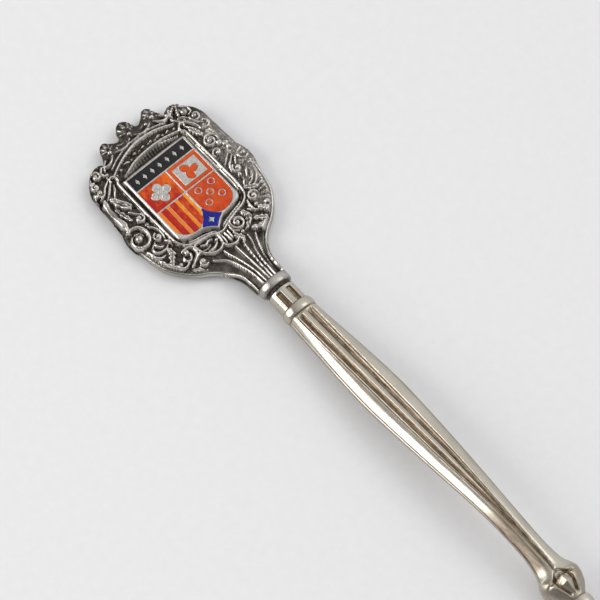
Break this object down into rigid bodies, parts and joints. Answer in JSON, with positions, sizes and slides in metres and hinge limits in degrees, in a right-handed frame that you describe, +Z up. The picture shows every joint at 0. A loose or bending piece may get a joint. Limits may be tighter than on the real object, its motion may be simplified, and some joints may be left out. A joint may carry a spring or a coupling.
{
  "type": "souvenir spoon",
  "caption": "Small collector's spoon with an ornamental cast head, an enamelled shield badge, a fluted handle with a knop, and an egg-shaped bowl.",
  "frame": {"origin": "centre of the spoon's box on the surface that it lies on, with the spoon face up", "axes": "+X from the crown on the head to the tip of the bowl, +Y to the right side of the shield seen upright, +Z up out of the face"},
  "size_m": [0.13, 0.0266, 0.0064],
  "materials": {
    "oxidised_silver": "cast, silver plated, oxidised dark in the recesses and rubbed bright on the high edges",
    "bright_silver": "polished silver plate with brown tarnish in the grooves",
    "badge_metal": "stamped and silver plated, satin",
    "enamel_black": "glossy hard enamel",
    "enamel_red": "glossy translucent hard enamel",
    "enamel_orange": "glossy translucent hard enamel",
    "enamel_yellow": "glossy translucent hard enamel",
    "enamel_blue": "glossy translucent hard enamel",
    "solder": "dull silver solder, tarnished",
    "adhesive": "clear amber epoxy film"
  },
  "bodies": {
    "root": {"head_casting": "oxidised_silver", "handle_shaft": "bright_silver", "bowl_blade": "bright_silver", "shield_plate": "badge_metal", "enamel_band_black": "enamel_black", "enamel_field_red": "enamel_red", "enamel_frame_orange": "enamel_orange", "enamel_sprig_orange": "enamel_orange", "enamel_stripes_yellow": "enamel_yellow", "enamel_stripes_red": "enamel_red", "enamel_field_orange": "enamel_orange", "enamel_studs_red": "enamel_red", "enamel_base_blue": "enamel_blue", "badge_adhesive": "adhesive", "solder_head_joint": "solder", "solder_bowl_joint": "solder"}
  },
  "joints": []
}
